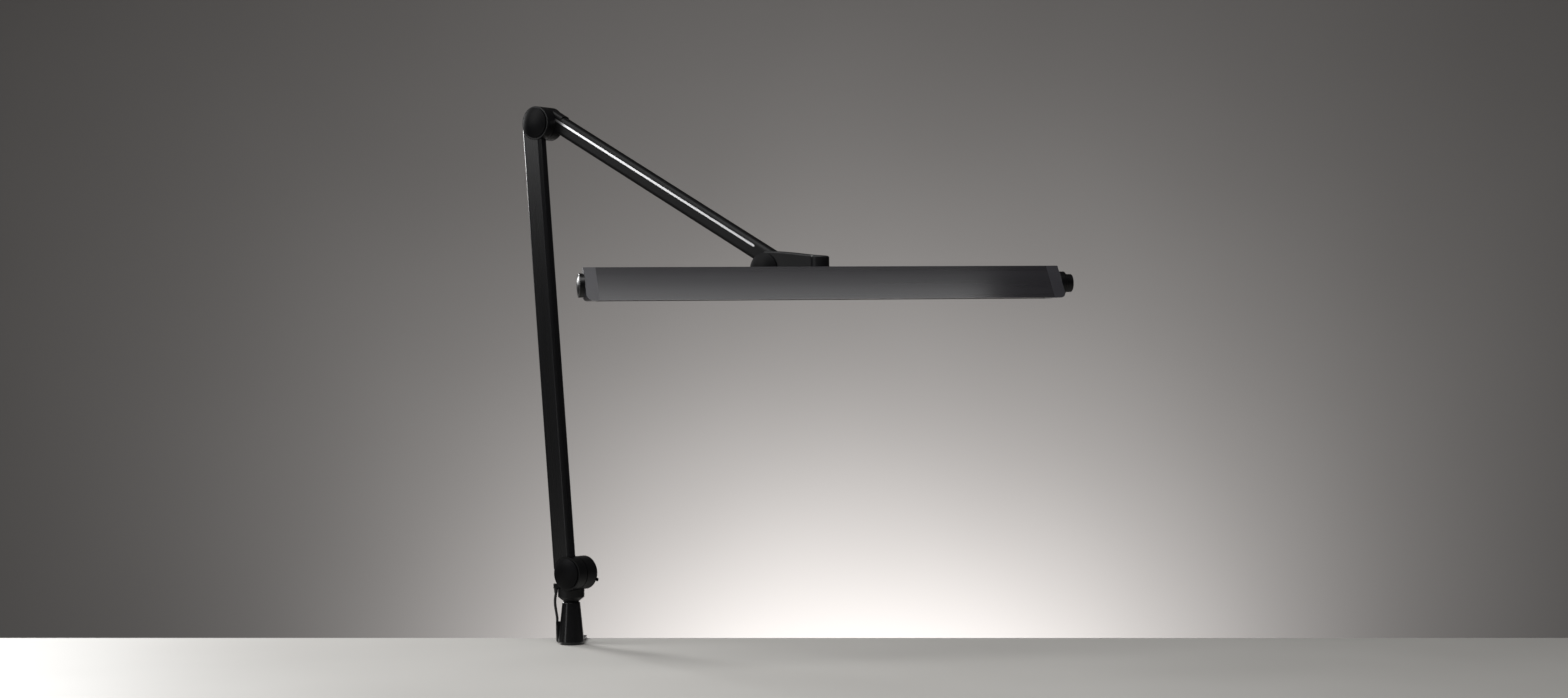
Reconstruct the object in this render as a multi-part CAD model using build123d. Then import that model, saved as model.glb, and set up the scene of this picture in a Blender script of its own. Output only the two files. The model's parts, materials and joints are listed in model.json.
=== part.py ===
from build123d import *
import math
import os

# Clamp-mounted desk lamp: a tapered post, two balanced arms and a long light bar.
# Millimetres. The origin is on the desk top under the post's axis, +X to the right, +Y to the
# back of the desk, +Z up. The pose is the one in which the lamp is usually seen.

# ---- driving dimensions ----------------------------------------------------------------------

# Desk clamp
DESK_THICKNESS = 25.0        # the desk that the clamp is drawn on
EDGE_BEHIND_POST = 62.0      # desk edge, behind the post's axis
JAW_WIDTH = 24.0
JAW_PLATE = 2.5
JAW_PAD = 0.5
SPINE_THICKNESS = 4.0
LOWER_JAW_TOP = -48.0
LOWER_JAW_THICKNESS = 10.0
JAW_NOSE = 14.0              # how far the upper jaw runs in front of the post's axis
SCREW_BEHIND_POST = 6.0
SCREW_RADIUS = 4.0
SCREW_BOSS_RADIUS = 12.0
FOOT_RADIUS = 16.0
FOOT_PLATE = 4.0
FOOT_NECK_RADIUS = 8.0
FOOT_NECK = 6.0
FOOT_PAD = 2.0
KNOB_RADIUS = 15.0
KNOB_HEIGHT = 14.0
KNOB_DROP = 27.0             # from the lower jaw's underside to the knob
KNOB_FLUTES = 9
FLUTE_RADIUS = 3.0

# Post and swivel
POST_BASE_RADIUS = 14.3
POST_TOP_RADIUS = 9.8
POST_HEIGHT = 43.5
POST_BOLT_RADIUS = 4.0
POST_BOLT_LENGTH = 15.0
SPINDLE_RADIUS = 6.0
SPINDLE_DEPTH = 24.0
SPINDLE_RISE = 8.4            # into the yoke's collar
BUSH_WALL = 1.2
COLLAR_RADIUS = 14.5
COLLAR_TAPER = 4.6
COLLAR_HEIGHT = 14.0
THRUST_WASHER = 0.7

# Joints and arms, in the plane of the arms
ARM_YAW = 36.0               # the arms' plane, turned towards the front about the post
SHOULDER_REACH = 6.4
SHOULDER_HEIGHT = 78.4
LOWER_LEAN = 5.33            # backwards from upright
LOWER_LENGTH = 498.0
LOWER_DEPTH = 26.0
LOWER_OFFSET = 7.6
UPPER_DROOP = 28.05          # below level
UPPER_LENGTH = 356.2
UPPER_DEPTH = 19.5
UPPER_OFFSET = 7.8
ARM_THICKNESS = 13.0
ARM_CORNER = 4.5
ARM_WALL = 1.8
TUBE_SETBACK = 6.0           # from a pivot to the square-cut end of the lower tube
JOINT_RADIUS = 18.4
HEAD_JOINT_RADIUS = 19.0
LAYER_GAP = 1.0              # between the two discs of a joint
FRONT_FACE = -15.0           # front face of every joint's front disc
YOKE_THICKNESS = 16.0
AXLE_RADIUS = 4.0
AXLE_HEAD_RADIUS = 7.0
AXLE_HEAD = 2.6
CAP_RIM = 1.9                # width of the disc's rim that shows around its cap
CAP_EDGE = 1.4
CAP_DOME = 3.2
CAP_CAVITY_RADIUS = 7.6
CAP_CAVITY = 3.3
CAP_LUG_TURN = 23.6          # below level, on the shoulder's rear cover
CAP_LUG_RISE = 1.4
CAP_LUG_DEPTH = 2.2
WASHER_RADIUS = 12.0
WASHER_THICKNESS = 0.7
SPIGOT_END = 46.0            # from the pivot to the end of the tongue inside the arm
UPPER_COLLAR_END = 21.0
TRIM_WIDTH = 2.4
TRIM_DEPTH = 0.8
TRIM_RISE = 3.5              # above the arm's centre line
TRIM_START = 6.0
TRIM_END_MARGIN = 32.0
SPRING_RADIUS = 4.2
SPRING_WIRE = 1.4
LOWER_SPRING = 170.0
UPPER_SPRING = 120.0
SPRING_PLUG = 4.0
ROD_RADIUS = 1.5

# Neck and head
HEAD_RISE = 0.9              # the head's tilt above level
NECK_REACH = 66.4
NECK_BOSS_RADIUS = 9.5
NECK_BOSS_BOTTOM = -1.5
NECK_TOP_LINE = [(23.0, 17.6), (41.5, 15.4), (60.0, 13.1)]    # between the joint and the tip
NECK_TIP_TOP = 11.0
NECK_BELLY = [(42.0, NECK_BOSS_BOTTOM), (14.0, -10.0), (0.0, -10.0)]
NECK_EDGE = 2.0
HEAD_TURN = 48.7             # the bar's axis, from the arms' plane
HEAD_LENGTH = 494.0
HEAD_HEIGHT = 33.7
HEAD_FRONT_SLOPE = 28.0      # how far the front leans back over its height
HEAD_TOP_FLAT = 6.0
HEAD_DEPTH = 38.0
HEAD_BACK_CHAMFER = 4.7
HEAD_BEHIND_AXIS = 11.5      # from the swivel's axis to the bar's back
HEAD_WALL = 1.6
END_CAP = 12.5
END_CAP_WALL = 2.5
END_CAP_TONGUE = 8.0
TONGUE_WALL = 1.4
END_CAP_CORNER = 6.0
LIP_FRONT = 6.5
LIP_BACK = 4.0
DIFFUSER_THICKNESS = 2.0
CARRIER_DROP = 6.0
CARRIER_THICKNESS = 2.0
CARRIER_FLANGE = 1.5
CARRIER_FLANGE_DROP = 5.0     # kept clear above the bracket's screws
BOARD_WIDTH = 10.0
BOARD_THICKNESS = 1.2
LED_COUNT = 30
LED_SIZE = 3.0
LED_HEIGHT = 0.8
BRACKET_WIDTH = 56.0
BRACKET_PLATE = 3.0
BRACKET_DROP = 26.0
LEDGE_TOP = -2.5
LEDGE_THICKNESS = 5.0
LEDGE_RADIUS = 11.0
BRACKET_SCREW_SPREAD = 21.0
BRACKET_SCREW_DROP = 16.0
BRACKET_SCREW_RADIUS = 2.0
PIVOT_PIN_TOP = 7.0
DISC_RADIUS = 12.1
DISC_BEHIND_FRONT = 25.7
DISC_ABOVE_BOTTOM = 15.5
DISC_THICKNESS = 5.2
BUTTON_RADIUS = 9.2
BUTTON_TRAVEL = 1.2
BUTTON_DOME = 1.5
BUTTON_STOP_RADIUS = 4.6
COLLAR_LENGTH = 6.0
DIMMER_RADIUS = 9.4
DIMMER_LENGTH = 7.2
DIMMER_DOME = 1.4
SHAFT_RADIUS = 3.0
CONTROL_RADIUS = 7.0
CONTROL_LENGTH = 7.0
CONTROL_FLOOR = 2.0

# Cord
CORD_RADIUS = 1.5
GLAND_SPREAD = 16.8          # from the post's axis to the cord's exit
GLAND_AZIMUTH = 216.5        # in the arms' frame
GLAND_RADIUS = 2.3
HORN_BOTTOM = 61.5
HORN_TOP = 66.4
HORN_WIDTH = 5.2
CORD_EXIT = 56.0             # height of the gland's end
CORD_SEAM = 26.0             # height where the turning stretch meets the fixed one
CLIP_BOTTOM = 4.0
CLIP_TOP = 24.5
CLIP_HOOK = 3.6
COIL_CENTRE = (-40.95, 80.0, -48.0)
COIL_RADIUS = 16.2
COIL_BUNDLE = 12.5
TIE_WIDTH = 7.0
TIE_THICKNESS = 1.2
PLUG_TOP = -72.0
PLUG_RELIEF = 11.0
PLUG_BODY = 14.0
PLUG_BARREL = 9.0
PLUG_RADIUS = 5.0
PLUG_BARREL_RADIUS = 2.75

# Clearances
RUNNING = 0.05               # radial, shaft in hole
FACE_GAP = 0.3               # between faces that slide past each other
FIT = 0.1                    # between a part and the hollow that it plugs into
DISC_GAP = 0.5               # between a joint's disc and the end of the arm's tube

# ---- values that follow ----------------------------------------------------------------------

jaw_top = JAW_PAD + JAW_PLATE
spine_back = EDGE_BEHIND_POST + SPINE_THICKNESS
lower_jaw_bottom = LOWER_JAW_TOP - LOWER_JAW_THICKNESS
foot_pad_top = -DESK_THICKNESS
foot_plate_top = foot_pad_top - FOOT_PAD
foot_plate_bottom = foot_plate_top - FOOT_PLATE
foot_neck_bottom = foot_plate_bottom - FOOT_NECK
knob_top = lower_jaw_bottom - KNOB_DROP
post_top = jaw_top + POST_HEIGHT
collar_bottom = post_top + THRUST_WASHER + FACE_GAP
collar_top = collar_bottom + COLLAR_HEIGHT
spindle_bottom = post_top - SPINDLE_DEPTH
front_back = FRONT_FACE + ARM_THICKNESS          # back face of every front disc
rear_front = front_back + LAYER_GAP              # front face of every rear disc
rear_face = rear_front + ARM_THICKNESS
yoke_back = rear_front + YOKE_THICKNESS
front_middle = FRONT_FACE + ARM_THICKNESS / 2
rear_middle = rear_front + ARM_THICKNESS / 2
head_front = -HEAD_BEHIND_AXIS - HEAD_DEPTH      # front bottom edge, in the bar's frame
head_back = -HEAD_BEHIND_AXIS
head_bottom = -HEAD_HEIGHT
extrusion_half = HEAD_LENGTH / 2 - END_CAP
knob_axis = (head_front + DISC_BEHIND_FRONT, head_bottom + DISC_ABOVE_BOTTOM)

# Frames, each from the one that carries it
swivel_frame = Location((0, 0, 0), (0, 0, -ARM_YAW))
shoulder_frame = swivel_frame * Location((SHOULDER_REACH, 0, SHOULDER_HEIGHT))
lower_frame = shoulder_frame * Location((0, 0, 0), (0, -90 - LOWER_LEAN, 0))
upper_frame = lower_frame * Location((LOWER_LENGTH, 0, 0), (0, 90 + LOWER_LEAN + UPPER_DROOP, 0))
neck_frame = upper_frame * Location((UPPER_LENGTH, 0, 0), (0, -UPPER_DROOP - HEAD_RISE, 0))
bar_frame = neck_frame * Location((NECK_REACH, front_middle, 0), (0, 0, HEAD_TURN))

os.makedirs("parts", exist_ok=True)


def save(name, shape, frame=Location()):
    """Write one sub-part, moved from its own frame to the lamp's."""
    export_step(frame * shape, f"parts/{name}.step")


# ---- shapes used more than once --------------------------------------------------------------

def drum(radius, y_from, y_to, x=0.0, z=0.0):
    """A cylinder along Y."""
    return Pos(x, (y_from + y_to) / 2, z) * Rot(90, 0, 0) * Cylinder(radius, y_to - y_from)


def column(radius, z_from, z_to, x=0.0, y=0.0):
    """A cylinder along Z."""
    return Pos(x, y, (z_from + z_to) / 2) * Cylinder(radius, z_to - z_from)


def stub(radius, x_from, x_to, y=0.0, z=0.0):
    """A cylinder along X."""
    return Pos((x_from + x_to) / 2, y, z) * Rot(0, 90, 0) * Cylinder(radius, x_to - x_from)


def block(x_from, x_to, y_from, y_to, z_from, z_to):
    """A box from its limits."""
    middle = Pos((x_from + x_to) / 2, (y_from + y_to) / 2, (z_from + z_to) / 2)
    return middle * Box(x_to - x_from, y_to - y_from, z_to - z_from)


def dome(radius, edge, rise):
    """A round button on the XY plane: a straight edge below, a shallow dome above."""
    ball = (radius ** 2 + rise ** 2) / (2 * rise)
    return column(radius, 0, edge + rise) & (Pos(0, 0, edge + rise - ball) * Rot(0, 90, 0) * Sphere(ball))


def joint_cap(disc_radius):
    """The domed cover of a joint, hollow over the axle's head, on the XY plane."""
    return dome(disc_radius - CAP_RIM, CAP_EDGE, CAP_DOME) - column(CAP_CAVITY_RADIUS, -1, CAP_CAVITY)


def front_cap(disc_radius):
    return Pos(0, FRONT_FACE, 0) * Rot(90, 0, 0) * joint_cap(disc_radius)


def rear_cap(disc_radius, face):
    return Pos(0, face, 0) * Rot(-90, 0, 0) * joint_cap(disc_radius)


def axle(rear):
    """A shouldered pin through both discs, with a head at one end and a nut at the other."""
    pin = drum(AXLE_RADIUS, FRONT_FACE, rear + FACE_GAP)
    head = drum(AXLE_HEAD_RADIUS, FRONT_FACE - AXLE_HEAD, FRONT_FACE)
    nut = Pos(0, rear + FACE_GAP + AXLE_HEAD / 2, 0) * Rot(90, 0, 0) * extrude(
        RegularPolygon(AXLE_HEAD_RADIUS, 6), AXLE_HEAD / 2, both=True)
    return pin + head + nut


def friction_washer():
    """The washer between two discs, seated on the front one."""
    back = front_back + WASHER_THICKNESS
    return drum(WASHER_RADIUS, front_back, back) - drum(AXLE_RADIUS + RUNNING, front_back, back)


def arm_section(depth, inset, offset, middle):
    """The arm's rounded section across its length, at a pivot, shrunk by inset."""
    size = (depth - 2 * inset, ARM_THICKNESS - 2 * inset)
    across = Plane(origin=(0, middle, offset), x_dir=(0, 0, 1), z_dir=(1, 0, 0))
    return across * RectangleRounded(size[0], size[1], ARM_CORNER - inset)


def arm_tongue(depth, offset, middle, start, end):
    """The tongue of an end casting, which fills the arm's tube with a fit."""
    section = arm_section(depth, ARM_WALL + FIT, offset, middle)
    return Pos(start, 0, 0) * extrude(section, end - start)


def mirror_arm(shape, length):
    """Turn an end made at the near pivot to the far one."""
    return Pos(length, 0, 0) * mirror(shape, Plane.YZ)


# ---- clamp -----------------------------------------------------------------------------------

def clamp_bracket():
    outline = Polyline(
        (0, jaw_top), (spine_back, jaw_top), (spine_back, lower_jaw_bottom),
        (SCREW_BEHIND_POST, lower_jaw_bottom), (SCREW_BEHIND_POST, LOWER_JAW_TOP),
        (EDGE_BEHIND_POST, LOWER_JAW_TOP), (EDGE_BEHIND_POST, JAW_PAD), (0, JAW_PAD), close=True)
    profile = Plane.YZ * make_face(outline)
    frame = extrude(profile, JAW_WIDTH / 2, both=True)
    corners = frame.edges().filter_by(Axis.X).filter_by_position(Axis.Y, spine_back - 1, spine_back + 1)
    frame = fillet(corners, SPINE_THICKNESS * 0.9)
    nose = column(JAW_WIDTH / 2, JAW_PAD, jaw_top, 0, JAW_WIDTH / 2 - JAW_NOSE)
    neck = block(-JAW_WIDTH / 2, JAW_WIDTH / 2, JAW_WIDTH / 2 - JAW_NOSE, 1, JAW_PAD, jaw_top)
    boss = column(SCREW_BOSS_RADIUS, lower_jaw_bottom, LOWER_JAW_TOP, 0, SCREW_BEHIND_POST)
    bore = column(SCREW_RADIUS + RUNNING, lower_jaw_bottom, LOWER_JAW_TOP, 0, SCREW_BEHIND_POST)
    bolt_hole = Pos(0, 0, JAW_PAD) * Cone(
        POST_BOLT_RADIUS * 2 + FIT, POST_BOLT_RADIUS + FIT, JAW_PLATE,
        align=(Align.CENTER, Align.CENTER, Align.MIN))
    return frame + nose + neck + boss - bore - bolt_hole


def clamp_top_pad():
    half = JAW_WIDTH / 2 - 1
    pad = block(-half, half, 0, EDGE_BEHIND_POST - 2, 0, JAW_PAD)
    pad += column(half, 0, JAW_PAD)
    return pad - column(POST_BOLT_RADIUS * 2 + 2 * FIT, 0, JAW_PAD)


def clamp_foot():
    foot = column(FOOT_RADIUS, foot_plate_bottom, foot_plate_top)
    foot += column(FOOT_NECK_RADIUS, foot_neck_bottom, foot_plate_bottom)
    foot -= column(SCREW_RADIUS + RUNNING, foot_neck_bottom, foot_plate_bottom + FOOT_PLATE / 2)
    return Pos(0, SCREW_BEHIND_POST, 0) * foot


def clamp_screw():
    top = foot_plate_bottom + FOOT_PLATE / 2 - FACE_GAP
    return column(SCREW_RADIUS, knob_top - KNOB_HEIGHT / 2, top, 0, SCREW_BEHIND_POST)


def clamp_knob():
    knob = column(KNOB_RADIUS, knob_top - KNOB_HEIGHT, knob_top)
    knob = fillet(knob.edges(), 2)
    knob += column(FOOT_NECK_RADIUS, knob_top, knob_top + 4)
    for turn in range(KNOB_FLUTES):
        flute = column(FLUTE_RADIUS, knob_top - KNOB_HEIGHT, knob_top, KNOB_RADIUS + 1.4)
        knob -= Rot(0, 0, turn * 360 / KNOB_FLUTES) * flute
    knob -= column(SCREW_RADIUS, knob_top - KNOB_HEIGHT / 2, knob_top + 4)
    return Pos(0, SCREW_BEHIND_POST, 0) * knob


save("clamp_bracket", clamp_bracket())
save("clamp_top_pad", clamp_top_pad())
save("clamp_foot", clamp_foot())
save("clamp_foot_pad", column(FOOT_RADIUS - 1, foot_plate_top, foot_pad_top, 0, SCREW_BEHIND_POST))
save("clamp_screw", clamp_screw())
save("clamp_knob", clamp_knob())

# ---- post ------------------------------------------------------------------------------------

def post_sleeve():
    post = Pos(0, 0, jaw_top) * Cone(
        POST_BASE_RADIUS, POST_TOP_RADIUS, POST_HEIGHT, align=(Align.CENTER, Align.CENTER, Align.MIN))
    post = fillet(post.edges().sort_by(Axis.Z)[-1], 1.5)
    bush = SPINDLE_RADIUS + RUNNING + BUSH_WALL
    post -= column(bush, spindle_bottom, post_top)
    return post - column(POST_BOLT_RADIUS, jaw_top, JAW_PAD + POST_BOLT_LENGTH)


def post_bolt():
    """Countersunk bolt that holds the post on the upper jaw, flush with the jaw's underside."""
    head = Pos(0, 0, JAW_PAD) * Cone(
        POST_BOLT_RADIUS * 2, POST_BOLT_RADIUS, JAW_PLATE, align=(Align.CENTER, Align.CENTER, Align.MIN))
    return head + column(POST_BOLT_RADIUS, jaw_top, JAW_PAD + POST_BOLT_LENGTH)


def swivel_bush():
    outer = column(SPINDLE_RADIUS + RUNNING + BUSH_WALL, spindle_bottom, post_top)
    return outer - column(SPINDLE_RADIUS + RUNNING, spindle_bottom, post_top)


save("post_sleeve", post_sleeve())
save("post_bolt", post_bolt())
save("swivel_bush", swivel_bush())

# ---- swivel: yoke, spindle and shoulder ------------------------------------------------------

def gland_place(z):
    turn = math.radians(GLAND_AZIMUTH)
    return (GLAND_SPREAD * math.cos(turn), GLAND_SPREAD * math.sin(turn), z)


def shoulder_yoke():
    """Collar, web and rear disc in one casting, in the arms' frame."""
    collar = column(COLLAR_RADIUS, collar_bottom + COLLAR_TAPER, collar_top)
    collar += Pos(0, 0, collar_bottom) * Cone(
        POST_TOP_RADIUS - 1, COLLAR_RADIUS, COLLAR_TAPER, align=(Align.CENTER, Align.CENTER, Align.MIN))
    web = block(
        -COLLAR_RADIUS + 1.5, COLLAR_RADIUS - 0.5, rear_front, COLLAR_RADIUS - 3, collar_top, SHOULDER_HEIGHT)
    disc = drum(JOINT_RADIUS, rear_front, yoke_back, SHOULDER_REACH, SHOULDER_HEIGHT)
    arm = Rot(0, 0, GLAND_AZIMUTH) * block(
        COLLAR_RADIUS / 2, GLAND_SPREAD + HORN_WIDTH / 2, -HORN_WIDTH / 2, HORN_WIDTH / 2,
        HORN_BOTTOM, HORN_TOP)
    root = Rot(0, 0, GLAND_AZIMUTH) * block(
        COLLAR_RADIUS / 2, COLLAR_RADIUS - 0.3, -HORN_WIDTH / 2, HORN_WIDTH / 2, collar_top - 2, HORN_BOTTOM)
    yoke = collar + web + disc + arm + root
    sweep = drum(JOINT_RADIUS + DISC_GAP, FRONT_FACE - 10, rear_front, SHOULDER_REACH, SHOULDER_HEIGHT)
    yoke -= sweep
    yoke -= drum(AXLE_RADIUS + RUNNING, rear_front, yoke_back, SHOULDER_REACH, SHOULDER_HEIGHT)
    yoke -= column(SPINDLE_RADIUS, collar_bottom, collar_bottom + SPINDLE_RISE)
    return yoke - column(GLAND_RADIUS - 0.6 + RUNNING, HORN_BOTTOM, HORN_TOP - 1, *gland_place(0)[:2])


def swivel_spindle():
    return column(SPINDLE_RADIUS, spindle_bottom + 1, collar_bottom + SPINDLE_RISE)


def thrust_washer():
    low, high = collar_bottom - THRUST_WASHER, collar_bottom
    return column(POST_TOP_RADIUS - 1.2, low, high) - column(SPINDLE_RADIUS + RUNNING, low, high)


def cord_gland():
    """Tapered strain relief, plugged into the yoke's horn from below."""
    x, y, z = gland_place(CORD_EXIT)
    relief = Pos(x, y, z) * Cone(
        CORD_RADIUS + 0.3, GLAND_RADIUS, HORN_BOTTOM - CORD_EXIT,
        align=(Align.CENTER, Align.CENTER, Align.MIN))
    return relief + column(GLAND_RADIUS - 0.6, HORN_BOTTOM, HORN_TOP - 1.3, x, y)


def shoulder_rear_cap():
    """The rear cover, with the small lug that turns it off."""
    lug = Rot(0, CAP_LUG_TURN, 0) * block(
        JOINT_RADIUS - 4, JOINT_RADIUS + CAP_LUG_RISE, yoke_back, yoke_back + CAP_LUG_DEPTH, -1.5, 1.5)
    return rear_cap(JOINT_RADIUS, yoke_back) + lug


save("shoulder_yoke", shoulder_yoke(), swivel_frame)
save("swivel_spindle", swivel_spindle())
save("thrust_washer", thrust_washer())
save("cord_gland", cord_gland(), swivel_frame)
save("shoulder_axle", axle(yoke_back), shoulder_frame)
save("shoulder_rear_cap", shoulder_rear_cap(), shoulder_frame)

# ---- lower arm -------------------------------------------------------------------------------

def lower_arm_end():
    """Front disc and tongue of the lower arm, the same at both ends."""
    end = drum(JOINT_RADIUS, FRONT_FACE, front_back)
    end += arm_tongue(LOWER_DEPTH, LOWER_OFFSET, front_middle, 5, SPIGOT_END)
    return end - drum(AXLE_RADIUS + RUNNING, FRONT_FACE, front_back)


def lower_arm_tube():
    length = LOWER_LENGTH - 2 * TUBE_SETBACK
    outer = extrude(arm_section(LOWER_DEPTH, 0, LOWER_OFFSET, front_middle), length)
    inner = extrude(arm_section(LOWER_DEPTH, ARM_WALL, LOWER_OFFSET, front_middle), length)
    tube = Pos(TUBE_SETBACK, 0, 0) * (outer - inner)
    for pivot in (0, LOWER_LENGTH):
        tube -= drum(JOINT_RADIUS + DISC_GAP, FRONT_FACE - 1, front_back + 1, pivot)
    return tube


def spring_set(length, spring, depth, offset, middle):
    """A balance spring between two plugs, with a short anchor and a long pull rod.

    The coil is drawn as a plain tube of its own wire and outer diameter."""
    first = SPIGOT_END
    low = first + 14
    high = low + spring
    far = length - SPIGOT_END
    place = Pos(0, middle, offset)
    coil = place * (stub(SPRING_RADIUS, low, high) - stub(SPRING_RADIUS - SPRING_WIRE, low, high))
    anchor = place * (stub(ROD_RADIUS, first, low) + stub(SPRING_RADIUS, low - SPRING_PLUG, low))
    rod = place * (stub(SPRING_RADIUS, high, high + SPRING_PLUG) + stub(ROD_RADIUS, high, far))
    return coil, Compound(children=[anchor, rod])


lower_coil, lower_hangers = spring_set(
    LOWER_LENGTH, LOWER_SPRING, LOWER_DEPTH, LOWER_OFFSET, front_middle)
save("lower_arm_foot", lower_arm_end(), lower_frame)
save("lower_arm_head", mirror_arm(lower_arm_end(), LOWER_LENGTH), lower_frame)
save("lower_arm_tube", lower_arm_tube(), lower_frame)
save("lower_spring", lower_coil, lower_frame)
save("lower_spring_hangers", lower_hangers, lower_frame)
save("shoulder_front_cap", front_cap(JOINT_RADIUS), shoulder_frame)
save("shoulder_washer", friction_washer(), lower_frame)
save("elbow_front_cap", Pos(LOWER_LENGTH, 0, 0) * front_cap(JOINT_RADIUS), lower_frame)
save("elbow_axle", Pos(LOWER_LENGTH, 0, 0) * axle(rear_face), lower_frame)
save("elbow_washer", Pos(LOWER_LENGTH, 0, 0) * friction_washer(), lower_frame)

# ---- upper arm -------------------------------------------------------------------------------

trim_height = UPPER_OFFSET + TRIM_RISE
trim_stop = UPPER_LENGTH - TRIM_END_MARGIN


def trim_bar(width, depth):
    """The inlaid strip with round ends, on the arm's front face."""
    middle = (TRIM_START + trim_stop) / 2
    face = Plane(origin=(middle, rear_front, trim_height), x_dir=(1, 0, 0), z_dir=(0, 1, 0))
    return extrude(face * SlotOverall(trim_stop - TRIM_START + width - TRIM_WIDTH, width), depth)


def upper_arm_foot():
    """Elbow disc with the square collar that the arm's tube butts against."""
    foot = drum(JOINT_RADIUS, rear_front, rear_face)
    bottom = UPPER_OFFSET - UPPER_DEPTH / 2
    collar = block(0, UPPER_COLLAR_END, rear_front, rear_face, bottom, JOINT_RADIUS)
    long_ones = collar.edges().filter_by(Axis.X)
    collar = fillet(long_ones.filter_by_position(Axis.Z, JOINT_RADIUS - 1, JOINT_RADIUS + 1), 3)
    foot += collar
    foot += arm_tongue(UPPER_DEPTH, UPPER_OFFSET, rear_middle, UPPER_COLLAR_END - 4, SPIGOT_END)
    foot -= drum(AXLE_RADIUS + RUNNING, rear_front, rear_face)
    return foot - trim_bar(TRIM_WIDTH + FIT, TRIM_DEPTH + FIT / 2)


def upper_arm_head():
    head = drum(HEAD_JOINT_RADIUS, rear_front, rear_face)
    head += arm_tongue(UPPER_DEPTH, UPPER_OFFSET, rear_middle, 5, SPIGOT_END)
    return head - drum(AXLE_RADIUS + RUNNING, rear_front, rear_face)


def upper_arm_tube():
    outer = extrude(arm_section(UPPER_DEPTH, 0, UPPER_OFFSET, rear_middle), UPPER_LENGTH)
    inner = extrude(arm_section(UPPER_DEPTH, ARM_WALL, UPPER_OFFSET, rear_middle), UPPER_LENGTH)
    tube = outer - inner
    tube -= block(-1, UPPER_COLLAR_END + FIT, rear_front - 1, rear_face + 1, -UPPER_DEPTH, 2 * UPPER_DEPTH)
    tube -= drum(HEAD_JOINT_RADIUS + DISC_GAP, rear_front - 1, rear_face + 1, UPPER_LENGTH)
    return tube - trim_bar(TRIM_WIDTH + FIT, TRIM_DEPTH + FIT / 2)


upper_coil, upper_hangers = spring_set(
    UPPER_LENGTH, UPPER_SPRING, UPPER_DEPTH, UPPER_OFFSET, rear_middle)
save("upper_arm_foot", upper_arm_foot(), upper_frame)
save("upper_arm_head", mirror_arm(upper_arm_head(), UPPER_LENGTH), upper_frame)
save("upper_arm_tube", upper_arm_tube(), upper_frame)
save("upper_arm_trim", trim_bar(TRIM_WIDTH, TRIM_DEPTH), upper_frame)
save("upper_spring", upper_coil, upper_frame)
save("upper_spring_hangers", upper_hangers, upper_frame)
save("elbow_rear_cap", rear_cap(JOINT_RADIUS, rear_face), upper_frame)
save("head_axle", axle(rear_face), neck_frame)
save("head_rear_cap", rear_cap(HEAD_JOINT_RADIUS, rear_face), neck_frame)

# ---- neck ------------------------------------------------------------------------------------

def head_neck():
    """Front disc of the head's joint and a curved lever that ends round, over the head's swivel."""
    tip = NECK_REACH + NECK_BOSS_RADIUS
    top = Spline((0, HEAD_JOINT_RADIUS), *NECK_TOP_LINE, (tip, NECK_TIP_TOP), tangents=((1, 0), (1, -0.25)))
    rest = Polyline(
        (tip, NECK_TIP_TOP), (tip, NECK_BOSS_BOTTOM), *NECK_BELLY, (0, HEAD_JOINT_RADIUS))
    side = extrude(Plane.XZ * make_face(top + rest), NECK_BOSS_RADIUS, both=True)
    low, high = -HEAD_JOINT_RADIUS, HEAD_JOINT_RADIUS
    bar = side & block(0, NECK_REACH, -ARM_THICKNESS / 2, ARM_THICKNESS / 2, low, high)
    boss = side & column(NECK_BOSS_RADIUS, NECK_BOSS_BOTTOM, high, NECK_REACH)
    lever = bar + boss
    rims = lever.edges().filter_by_position(Axis.Z, NECK_TIP_TOP - 0.1, HEAD_JOINT_RADIUS - 0.1)
    lever = Pos(0, front_middle, 0) * fillet(rims, NECK_EDGE)
    neck = drum(HEAD_JOINT_RADIUS, FRONT_FACE, front_back) + lever
    neck -= drum(AXLE_RADIUS + RUNNING, FRONT_FACE, front_back)
    pin_hole = PIVOT_PIN_TOP + FACE_GAP
    return neck - column(AXLE_RADIUS + RUNNING, NECK_BOSS_BOTTOM, pin_hole, NECK_REACH, front_middle)


save("head_neck", head_neck(), neck_frame)
save("head_front_cap", front_cap(HEAD_JOINT_RADIUS), neck_frame)
save("head_washer", friction_washer(), neck_frame)

# ---- head: everything below is in the bar's frame, +X along the bar --------------------------

def head_face(inset=0.0):
    """The bar's closed section on the YZ plane, shrunk by inset."""
    outline = Polyline(
        (head_front, head_bottom), (head_front + HEAD_FRONT_SLOPE, 0),
        (head_front + HEAD_FRONT_SLOPE + HEAD_TOP_FLAT, 0), (head_back, -HEAD_BACK_CHAMFER),
        (head_back, head_bottom), close=True)
    face = make_face(outline)
    return Plane.YZ * (offset(face, -inset, kind=Kind.INTERSECTION) if inset else face)


def cap_cavity():
    """Section of the hollow inside an end cap."""
    return head_face(HEAD_WALL + FIT + TONGUE_WALL)


def bar_prism(face, x_from, x_to):
    return Pos(x_from, 0, 0) * extrude(face, x_to - x_from)


def bracket_screw_places():
    return [(side * BRACKET_SCREW_SPREAD, -BRACKET_SCREW_DROP) for side in (-1, 1)]


def head_housing():
    shell = bar_prism(head_face(), -extrusion_half, extrusion_half)
    shell -= bar_prism(head_face(HEAD_WALL), -extrusion_half, extrusion_half)
    window = block(
        -extrusion_half, extrusion_half, head_front + LIP_FRONT, head_back - LIP_BACK,
        head_bottom, head_bottom + HEAD_WALL)
    shell -= window
    for x, z in bracket_screw_places():
        shell -= drum(BRACKET_SCREW_RADIUS + RUNNING, head_back - 2 * HEAD_WALL, head_back, x, z)
    return shell


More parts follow.
